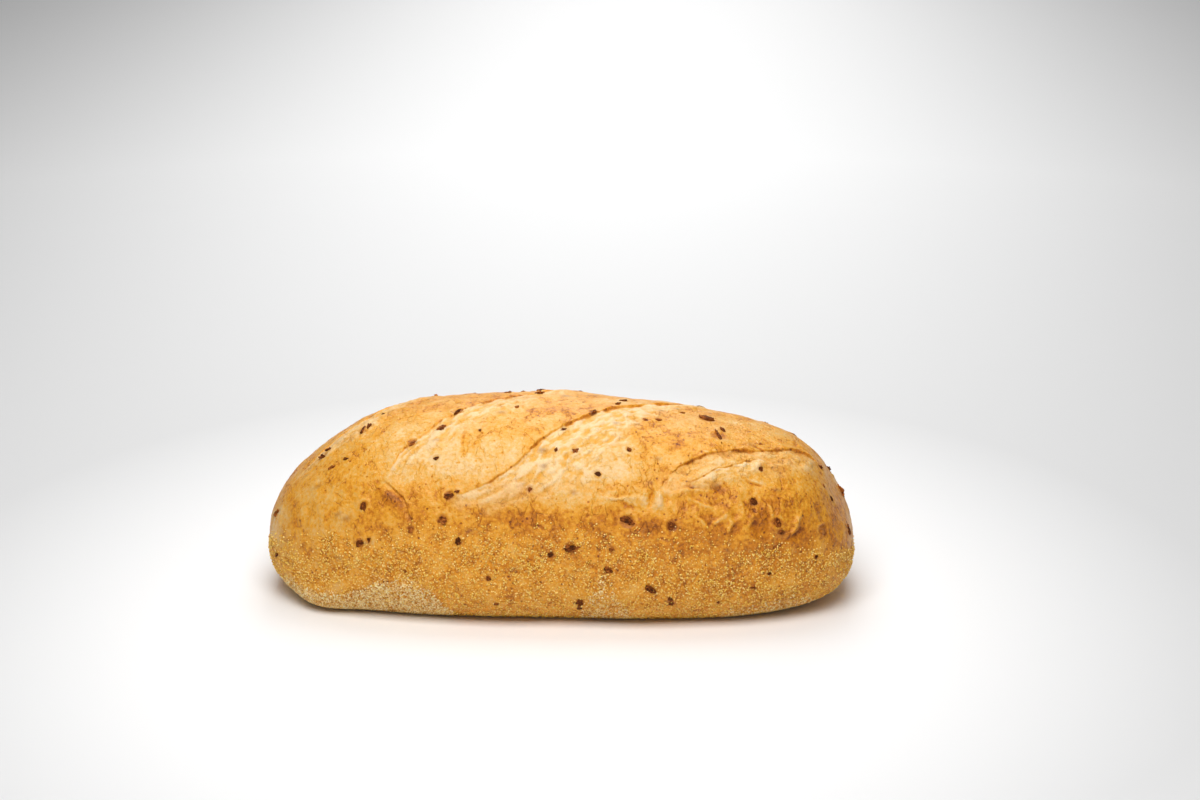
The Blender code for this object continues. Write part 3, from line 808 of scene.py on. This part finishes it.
def crust_material(settings):
    """Baked wheat crust: starch skin that browned from cream through gold to amber, so its colour
    is mottled at every scale, satin where it is smooth and floury where the meal lies."""
    material, add = new_material("baked_wheat_crust")
    place = add("TexCoord").outputs["Object"]
    # The crust's browning, with painted light and shade added to it
    bake, torn, crack, ghost, meal, strands = (
        add("Attribute", attribute_name=name).outputs["Fac"]
        for name in ("bake", "torn", "crack", "ghost", "meal", "strands")
    )

    # Blisters, broad blotches, pimples and creases, with their sizes in millimetres
    upright = add("VectorMath", (place, (1.2, 0.8, 0.8)), operation="MULTIPLY")
    fine, broad, pimples, wrinkled = (
        add("TexNoise", {"Vector": at, "Scale": 1 / (size * MM), **look})
        for at, size, look in (
            (place, 1.7, {"Detail": 3, "Roughness": 0.6}),
            (place, 9, {"Detail": 4, "Roughness": 0.65}),
            (place, 1.3, {"Detail": 3, "Roughness": 0.55}),
            (upright, 6, {"Detail": 3, "Roughness": 0.5, "Distortion": 0.3}),
        )
    )

    # Pores, one in each cell of 2.8 mm, and meal dust drawn at 1.25 mm, coarser than it is, to show
    pore_cells, dust_cells = (
        add("TexVoronoi", {"Vector": place, "Scale": 1 / (size * MM)}) for size in (2.8, 1.25)
    )
    folded = add("Math", (wrinkled, 0.5), operation="PINGPONG")

    # What each pattern is stretched from and to
    fine_change, broad_change, pore_shade, seldom, crinkle, in_places, dust, rough_skin = (
        add("MapRange", stretch)
        for stretch in (
            (fine, 0.3, 0.7, -0.15, 0.15),
            (broad, 0.3, 0.7, -0.15, 0.17),
            (pore_cells, 0.26, 0.1, 0, 0.36),
            (pore_cells.outputs["Color"], 0.5, 0.7, 0, 1),
            (folded, 0.465, 0.5, 0, 1),
            (broad, 0.42, 0.58, 0, 1),
            (dust_cells, 0.5, 0.2, 0, 0.9),
            (broad, 0.3, 0.7, 0.36, 0.48),
        )
    )

    # The skin: browner in mottles, and darkened with painted shade in cracks, pores and creases
    mottle = add("Math", (fine_change, broad_change), operation="ADD")
    baked = add("Math", (bake, mottle), operation="ADD")
    crack_shadowed = add("Math", (crack, 0.22, baked), operation="MULTIPLY_ADD")
    porous = add("Math", (pore_shade, seldom, crack_shadowed), operation="MULTIPLY_ADD")
    shaded_crease = add("Math", (crinkle, in_places), operation="MULTIPLY")
    browned = add("Math", (shaded_crease, 0.15, porous), operation="MULTIPLY_ADD")
    skin_stops = (
        (0.12, settings.cream),
        (1.0, settings.brown),
        (0.34, settings.straw),
        (0.52, settings.gold),
        (0.72, settings.amber),
    )
    colour = add("ValToRGB", (browned,), skin_stops).outputs["Color"]

    # Over it the torn floors, then the dust of the meal, then onion under the skin
    # Torn floors are paler on raised strands: partly the crumb's own streaks, partly painted light and
    # shade that follow the relief
    shaded = add("Math", (strands, -0.6, mottle), operation="MULTIPLY_ADD")
    torn_shade = add("Math", (shaded, 0.32), operation="ADD")
    torn_stops = ((0.15, settings.crumb), (0.85, settings.gold), (0.5, settings.straw))
    torn_colour = add("ValToRGB", (torn_shade,), torn_stops)
    whole = add("Math", (1.0, crack), operation="SUBTRACT")
    part_torn = add("Math", (torn, whole), operation="MULTIPLY")
    dusted = add("Math", (dust, meal), operation="MULTIPLY")
    through_skin = add("Math", (ghost, 0.5), operation="MULTIPLY")
    for share, cover in (
        (part_torn, torn_colour),
        (dusted, (*settings.flour, 1)),
        (through_skin, (*settings.ghost, 1)),
    ):
        layer = add("Mix", {0: share, MIX_A: colour, MIX_B: cover}, data_type="RGBA")
        colour = layer.outputs[MIX_RESULT]

    rough_torn = add("Math", (torn, 0.12, rough_skin), operation="MULTIPLY_ADD")
    roughness = add("Math", (meal, 0.35, rough_torn), operation="MULTIPLY_ADD")
    crumpled = add("Math", (shaded_crease, -0.5, pimples), operation="MULTIPLY_ADD")
    relief = add("Math", (dusted, crumpled), operation="ADD")
    bump = add("Bump", {"Strength": settings.bump, "Distance": 0.5 * MM, "Height": relief})
    shader = add(
        "BsdfPrincipled",
        {
            "Base Color": colour,
            "Roughness": roughness,
            "Normal": bump,
            "Subsurface Weight": 0.12,
            "Subsurface Radius": (1.0, 0.5, 0.2),
            "Subsurface Scale": 2 * MM,
            "Specular IOR Level": 0.3,
            "Coat Weight": 0.03,
            "Coat Roughness": 0.28,
            "Sheen Weight": 0.06,
            "Sheen Roughness": 0.4,
            "Sheen Tint": (1, 0.85, 0.75, 1),
        },
    )
    add("OutputMaterial", (shader,))
    return material


def onion_material(settings):
    """Onion dried and charred in the oven: thin brittle scales, black-brown with a wine-red cast
    where they are less burnt, and a dull shine from their own sugar."""
    material, add = new_material("charred_onion")
    place = add("TexCoord").outputs["Object"]
    char = add("Attribute", attribute_name="char").outputs["Fac"]
    streaks = add("TexNoise", {"Vector": place, "Scale": 1 / MM, "Detail": 3, "Roughness": 0.7})
    patchy = add("MapRange", (streaks, 0.35, 0.65, 0.2, 0.8))
    burnt = add("Math", (char, 0.5, patchy), operation="MULTIPLY_ADD")
    stops = ((0.1, settings.wine), (1.0, settings.black), (0.55, settings.dark))
    colour = add("ValToRGB", (burnt,), stops)
    bump = add("Bump", {"Strength": 0.8, "Distance": 0.4 * MM, "Height": streaks})
    look = {"Base Color": colour, "Roughness": 0.55, "Normal": bump, "Specular IOR Level": 0.08}
    add("OutputMaterial", (add("BsdfPrincipled", look),))
    return material


def grain_material(name, darkest, middle, palest):
    """Ground corn: hard, slightly see-through crumbs, each of its own shade."""
    material, add = new_material(name)
    tone = add("Attribute", attribute_name="tone").outputs["Fac"]
    colour = add("ValToRGB", (tone,), ((0.0, darkest), (1.0, palest), (0.5, middle)))
    look = {
        "Base Color": colour,
        "Roughness": 0.5,
        "Subsurface Weight": 0.2,
        "Subsurface Radius": (1.0, 0.7, 0.3),
        "Subsurface Scale": 0.6 * MM,
    }
    add("OutputMaterial", (add("BsdfPrincipled", look),))
    return material


def shape_crust(settings):
    """The crust's mesh with its relief, and the numbers its material reads."""
    bm = even_cube()
    coarsen_base(bm)
    refine(bm, in_fine_area)
    refine(bm, in_finest_area)
    share, angle = places_on_cube([v.co for v in bm.verts])
    plain = skin(share, angle)
    for vert, place in zip(bm.verts, plain):
        vert.co = place
    bmesh.ops.recalc_face_normals(bm, faces=bm.faces)
    bm.normal_update()
    fields = CrustFields(HALF_LENGTH * share, arc_of(angle), plain, settings.skin_height)
    fields.add_swells()
    fields.add_tears()
    fields.add_wrinkles()
    fields.add_skin_texture()
    fields.add_flake_marks(flake_sizes())
    fields.add_bake_and_painted_light()
    fields.add_meal()
    footing = smooth(plain[:, 2] / FOOTING)
    normals = np.array([v.normal for v in bm.verts])
    moved = plain + normals * (fields.height * footing)[:, None]
    moved[:, 2] = np.maximum(moved[:, 2], 0)
    for vert, place in zip(bm.verts, moved):
        vert.co = place
    return bm, fields


def finished_crust():
    crust = bpy.data.objects.get("crust")
    if crust is None:
        raise RuntimeError("The crust is made first.")
    return crust


def on_crust(tree, x, arc):
    """The point on the finished crust over a place, with the outward direction there."""
    share = np.array([0, SMALL_SHARE, 0]) + x / HALF_LENGTH
    angle = angle_of([arc, arc, arc + SMALL_ARC])
    here, ahead, aside = (Vector(p) for p in skin(share, angle))
    outward = (ahead - here).cross(aside - here).normalized()
    if outward.dot(here - Vector((0, 0, WIDEST_LEVEL))) < 0:
        outward.negate()
    point = tree.ray_cast(here + outward * LOOK_HEIGHT, -outward)[0]
    return point, outward, (ahead - here).normalized()


def broken_outline(draw):
    """The corners of a broken scale, in order round it."""
    count = draw.randint(4, 7)
    turns = [2 * math.pi * (k + draw.uniform(-0.32, 0.32)) / count for k in range(count)]
    return [Vector((math.cos(turn), math.sin(turn))) * draw.uniform(0.7, 1.4) for turn in turns]


def reach_to(corners, place):
    """How far the outline lies from its middle, in the direction of a place."""
    if place.length < 1e-6:
        return 1
    ahead = place.normalized()
    for start, end in zip(corners, corners[1:] + corners[:1]):
        side = end - start
        if ahead.cross(start) <= 0 <= ahead.cross(end):
            return start.cross(side) / ahead.cross(side)
    return 1


def splinters(draw, size):
    """Smaller pieces of a large flake, broken off but still lying by it."""
    x, arc, length, width, turn = size
    pieces = []
    for _ in range(draw.randint(1, 3)):
        ahead = math.radians(-turn)
        slip = draw.uniform(-0.42, 0.42) * length
        aside = draw.uniform(-0.3, 0.3) * width
        place = (x + slip * math.cos(ahead) - aside * math.sin(ahead), arc - slip * math.sin(ahead) - aside)
        share = draw.uniform(0.3, 0.5)
        pieces.append((*place, share * length, 1.1 * share * width, turn + draw.uniform(-50, 50)))
    return pieces


def add_flake(bm, char_layer, tree, draw, size, thickness):
    """One uneven, curled little scale of onion lying in the crust."""
    x, arc, length, width, turn = size
    point, outward, along = on_crust(tree, x, arc)
    aside = outward.cross(along)
    rounds = 3 if length > LARGE_FLAKE else 2
    made = bmesh.ops.create_icosphere(bm, subdivisions=rounds, radius=1)["verts"]
    shift = Vector([draw.uniform(-50, 50) for _ in range(3)])
    corners = broken_outline(draw)
    standing = STANDING_WIDE if width > SLIM_FLAKE else STANDING_SLIM
    upright = 1 + smooth((arc - STANDING_STARTS) / STANDING_BLEND) * standing
    curl = draw.uniform(-0.2, 0.9)
    char = draw.random()
    for vert in made:
        rough = noise.fractal(vert.co * 1.6 + shift, 1, 2, 2)
        ripple = noise.noise(Vector((0.8 * vert.co.x, 4 * vert.co.y, 0)) + shift)
        rim = vert.co.xy.length
        vert.co.xy *= reach_to(corners, vert.co.xy) * (1.0 + 0.3 * rough)
        vert.co.z += curl * (vert.co.y**2 - 0.3) + 0.3 * (rim**2 - 0.5) + 0.5 * ripple + 0.4 * rough
        vert.co.x *= length / 2
        vert.co.y *= width / 2
        vert.co.z *= thickness / 2 * upright
        vert[char_layer] = char - 0.5 * rim**4 - 1.2 * ripple
    spin = Matrix.Rotation(math.radians(turn), 4, "Z")
    lie = Matrix((along, aside, outward)).transposed().to_4x4()
    lie.translation = point
    bmesh.ops.transform(bm, matrix=lie @ spin, verts=made)


def shape_flakes(thickness):
    tree = BVHTree.FromObject(finished_crust(), bpy.context.evaluated_depsgraph_get())
    draw = random.Random(SEED + 1)
    bm = bmesh.new()
    char_layer = bm.verts.layers.float.new("char")
    for size in flake_sizes():
        add_flake(bm, char_layer, tree, draw, size, thickness)
        if size[2] > LARGE_FLAKE and size[3] > SLIM_FLAKE:
            for piece in splinters(draw, size):
                add_flake(bm, char_layer, tree, draw, piece, thickness)
    return bm


def grain_shape():
    """One grain as an eight-sided crumb: its corners and its faces."""
    bm = bmesh.new()
    bmesh.ops.create_uvsphere(bm, u_segments=4, v_segments=2, radius=1)
    bm.verts.index_update()
    corners = np.array([v.co for v in bm.verts])
    faces = np.array([[v.index for v in f.verts] for f in bm.faces])
    bm.free()
    return corners, faces


def read(items, name, kind, size):
    """One property of all the items of a mesh, a row of numbers for each."""
    values = np.zeros(len(items) * size, kind)
    items.foreach_get(name, values)
    return values.reshape(-1, size)


def scatter_places(mesh, draw, count, layer):
    """Random places on the crust, in clumps, more of them where this layer of it is thick."""
    mesh.calc_loop_triangles()
    corners = read(mesh.loop_triangles, "vertices", np.int32, 3)
    points = read(mesh.vertices, "co", np.float32, 3)
    thickness = read(mesh.attributes[layer].data, "value", np.float32, 1)[:, 0]
    first, second, third = (points[corners[:, k]] for k in range(3))
    across = np.cross(second - first, third - first)
    area = np.linalg.norm(across, axis=1) / 2
    above_floor = points[corners].min(axis=1)[:, 2] > LOWEST_GRAIN
    weight = area * thickness[corners].mean(axis=1) * above_floor
    tries = 2 * count
    chosen = draw.choice(len(weight), tries, p=weight / weight.sum())
    u, v = draw.random((2, tries))
    flip = u + v > 1
    u[flip], v[flip] = 1 - u[flip], 1 - v[flip]
    spots = first[chosen] + u[:, None] * (second - first)[chosen] + v[:, None] * (third - first)[chosen]
    clumped = lumps(spots, CLUMP_SIZE, 10, octaves=1) + draw.uniform(-0.8, 0.8, tries)
    kept = np.argsort(-clumped)[:count]
    return spots[kept], across[chosen[kept]] / (2 * area[chosen[kept], None])


def shape_grains(name, count, largest, layer):
    """All the grains of one kind as one mesh, with each grain's shade."""
    draw = np.random.default_rng(SEED + count)
    spots, outward = scatter_places(finished_crust().data, draw, count, layer)
    corners, faces = grain_shape()
    turns = np.linalg.qr(draw.normal(size=(count, 3, 3)))[0]
    sizes = largest * draw.uniform(0.5, 1.0, (count, 1, 1)) / 2
    stretch = draw.uniform(0.65, 1.0, (count, 1, 3))
    shapes = np.einsum("nij,nvj->nvi", turns, corners * stretch) * sizes
    shapes += (spots + outward * sizes[:, 0] * 0.35)[:, None, :]
    shapes[..., 2] = np.maximum(shapes[..., 2], 0)
    all_faces = (faces[None] + np.arange(count)[:, None, None] * len(corners)).reshape(-1, faces.shape[1])
    mesh = bpy.data.meshes.new(name)
    mesh.from_pydata(shapes.reshape(-1, 3).tolist(), [], all_faces.tolist())
    mesh.update()
    store(mesh, "tone", np.repeat(draw.random(count), len(corners)))
    return mesh


def colour_property(name, description, text):
    return bpy.props.FloatVectorProperty(
        name=name,
        description=description,
        default=hex_colour(text),
        subtype="COLOR",
        size=3,
        min=0,
        max=1,
    )


class BreadCrustSettings(bpy.types.PropertyGroup):
    skin_height: bpy.props.FloatProperty(
        name="Skin Height", description="Height of the skin's fine lumps", default=0.44 * MM, unit="LENGTH"
    )
    bump: bpy.props.FloatProperty(
        name="Pimples", description="Strength of the finest relief", default=1.0, subtype="FACTOR"
    )
    crumb: colour_property("Crumb", "The torn crumb's palest colour", "#f0cd98")
    cream: colour_property("Cream", "Crust that hardly browned", "#edc58a")
    straw: colour_property("Straw", "Lightly browned crust", "#e8b159")
    gold: colour_property("Gold", "Well baked crust", "#e8a02a")
    amber: colour_property("Amber", "The dark shoulders", "#c87812")
    brown: colour_property("Brown", "Scorched places", "#80400a")
    flour: colour_property("Flour", "The floury sides", "#f3c670")
    ghost: colour_property("Under Skin", "Onion that shows through the skin", "#8c5636")


class BreadFlakeSettings(bpy.types.PropertyGroup):
    thickness: bpy.props.FloatProperty(
        name="Thickness", description="A flake's thickness", default=1.3 * MM, unit="LENGTH"
    )
    wine: colour_property("Wine", "The least burnt onion", "#bd7030")
    dark: colour_property("Dark", "Most of the onion", "#7e4014")
    black: colour_property("Black", "Charred onion", "#47230a")


# The grains are drawn coarser than the real ones, which are too fine to show in the render
class BreadMealSettings(bpy.types.PropertyGroup):
    grains: bpy.props.IntProperty(name="Grains", description="How many lie on the sides", default=24500)
    drifted: bpy.props.IntProperty(name="Drifted", description="How many lie in the drifts", default=12500)
    grain_size: bpy.props.FloatProperty(
        name="Grain Size", description="The largest grain's size", default=1.3 * MM, unit="LENGTH"
    )
    deep: colour_property("Deep", "The darkest grains", "#d9951f")
    yellow: colour_property("Yellow", "Most of the grains", "#fbd058")
    light: colour_property("Light", "The palest grains", "#ffe08e")
    shaded: colour_property("Shaded", "The darkest grains of the drifts", "#c8821f")
    floured: colour_property("Floured", "Grains with flour on them", "#f9cf7f")
    flour: colour_property("Flour", "The palest grains of the drifts", "#fff3c2")


class BreadStageSettings(bpy.types.PropertyGroup):
    # The floor's greyer ring: painted falloff of the light
    floor: colour_property("Floor", "The studio floor", "#e4e4e4")
    key_power: bpy.props.FloatProperty(
        name="Key Power", description="The long softbox overhead", default=10.4, unit="POWER"
    )
    fill_power: bpy.props.FloatProperty(
        name="Fill Power", description="The softbox at the front", default=4.2, unit="POWER"
    )
    ambient: bpy.props.FloatProperty(
        name="Ambient", description="Light from the room all round", default=0.16, subtype="FACTOR"
    )


class BREAD_OT_crust(bpy.types.Operator):
    """Makes the crust, which stands for the loaf's solid"""

    bl_idname = "bread.crust"
    bl_label = "Crust"

    def execute(self, context):
        settings = context.scene.bread_crust
        bm, fields = shape_crust(settings)
        crust = add_piece("crust", mesh_of("crust", bm), crust_material(settings))
        for name in fields.stored:
            store(crust.data, name, getattr(fields, name))
        crust.data.shade_smooth()
        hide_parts("loaf")
        return {"FINISHED"}


class BREAD_OT_onion_flakes(bpy.types.Operator):
    """Lays the browned onion flakes on the crust"""

    bl_idname = "bread.onion_flakes"
    bl_label = "Onion Flakes"

    def execute(self, context):
        settings = context.scene.bread_flakes
        mesh = mesh_of("onion_flakes", shape_flakes(settings.thickness))
        mesh.shade_smooth()
        add_piece("onion_flakes", mesh, onion_material(settings))
        return {"FINISHED"}


class BREAD_OT_corn_meal(bpy.types.Operator):
    """Dusts the sides of the crust with corn meal, and lays floured grains in drifts at its foot"""

    bl_idname = "bread.corn_meal"
    bl_label = "Corn Meal"

    def execute(self, context):
        settings = context.scene.bread_meal
        plain = (settings.deep, settings.yellow, settings.light)
        floured = (settings.shaded, settings.floured, settings.flour)
        for name, count, size, layer, colours in (
            ("corn_meal", settings.grains, settings.grain_size, "meal", plain),
            ("floured_corn_meal", settings.drifted, FLOURED_SIZE * settings.grain_size, "drift", floured),
        ):
            add_piece(name, shape_grains(name, count, size, layer), grain_material(name, *colours))
        return {"FINISHED"}


def add_softbox(name, place, target, width, depth, power):
    light = bpy.data.lights.new(name, "AREA")
    light.shape = "RECTANGLE"
    light.size = width
    light.size_y = depth
    light.energy = power
    lamp = add_object(name, light)
    lamp.location = place
    lamp.rotation_euler = (Vector(target) - Vector(place)).to_track_quat("-Z", "Y").to_euler()


def add_floor(settings):
    """A studio floor of matt white paint, with a painted pool of light round the loaf and painted
    falloff to grey some way from it.
    """
    material, add = new_material("white_paint_and_painted_falloff")
    place = add("TexCoord").outputs["Object"]
    away = add("VectorMath", (place,), operation="LENGTH").outputs["Value"]
    white = (1, 1, 1)
    near, greyer, far = FLOOR_PAINTED_FALLOFF
    paint_and_falloff = add("ValToRGB", (away,), ((near, white), (far, white), (greyer, settings.floor)))
    look = {"Base Color": paint_and_falloff, "Roughness": 0.8, "Specular IOR Level": 0.2}
    add("OutputMaterial", (add("BsdfPrincipled", look),))
    bm = bmesh.new()
    bmesh.ops.create_circle(bm, cap_ends=True, segments=96, radius=FLOOR_RADIUS)
    floor = add_object("floor", mesh_of("floor", bm))
    floor.data.materials.append(material)


def add_camera():
    """The photograph's view: a little above, turned slightly, with the loaf left of the middle."""
    level = math.cos(CAMERA_ELEVATION)
    right = Vector((math.cos(CAMERA_AZIMUTH), math.sin(CAMERA_AZIMUTH), 0))
    back = Vector((right.y * level, -right.x * level, math.sin(CAMERA_ELEVATION)))
    up = back.cross(right)
    middle = Vector(LOOKED_AT)
    place = middle + back * CAMERA_DISTANCE
    target = middle + right * LEFT_OF_MIDDLE + up * BELOW_MIDDLE
    camera = add_object("camera", bpy.data.cameras.new("camera"))
    camera.data.sensor_width = SENSOR_WIDTH
    camera.data.lens = LENS
    camera.location = place
    camera.rotation_euler = (target - place).to_track_quat("-Z", "Y").to_euler()
    bpy.context.scene.camera = camera


class BREAD_OT_stage(bpy.types.Operator):
    """Makes the floor, the lights and the camera"""

    bl_idname = "bread.stage"
    bl_label = "Stage"

    def execute(self, context):
        settings = context.scene.bread_stage
        add_floor(settings)
        add_softbox("key", *KEY_LIGHT, settings.key_power)
        add_softbox("fill", *FILL_LIGHT, settings.fill_power)
        world = bpy.data.worlds.new("room")
        world.use_nodes = True
        room = world.node_tree.nodes["Background"].inputs
        room["Color"].default_value = (1, 1, 1, 1)
        room["Strength"].default_value = settings.ambient
        context.scene.world = world
        context.scene.view_settings.view_transform = "Standard"
        add_camera()
        return {"FINISHED"}


class BREAD_PT_panel(bpy.types.Panel):
    """Lists the pieces of the bread"""

    bl_idname = "BREAD_PT_panel"
    bl_label = "Onion Bread"
    bl_space_type = "VIEW_3D"
    bl_region_type = "UI"
    bl_category = "Bread"

    def draw(self, context):
        for operator, name, _ in STEPS:
            box = self.layout.box()
            box.operator(operator.bl_idname)
            settings = getattr(context.scene, name)
            for key in settings.bl_rna.properties.keys():
                if key not in {"rna_type", "name"}:
                    box.prop(settings, key)


# Each step's operator, and the name and the kind of its settings
STEPS = (
    (BREAD_OT_crust, "bread_crust", BreadCrustSettings),
    (BREAD_OT_onion_flakes, "bread_flakes", BreadFlakeSettings),
    (BREAD_OT_corn_meal, "bread_meal", BreadMealSettings),
    (BREAD_OT_stage, "bread_stage", BreadStageSettings),
)


def register():
    for operator, name, group in STEPS:
        bpy.utils.register_class(group)
        bpy.utils.register_class(operator)
        setattr(bpy.types.Scene, name, bpy.props.PointerProperty(type=group))
    bpy.utils.register_class(BREAD_PT_panel)


def unregister():
    bpy.utils.unregister_class(BREAD_PT_panel)
    for operator, name, group in reversed(STEPS):
        delattr(bpy.types.Scene, name)
        bpy.utils.unregister_class(operator)
        bpy.utils.unregister_class(group)


def main():
    register()
    bpy.ops.bread.crust()
    bpy.ops.bread.onion_flakes()
    bpy.ops.bread.corn_meal()
    bpy.ops.bread.stage()


if __name__ == "__main__":
    main()
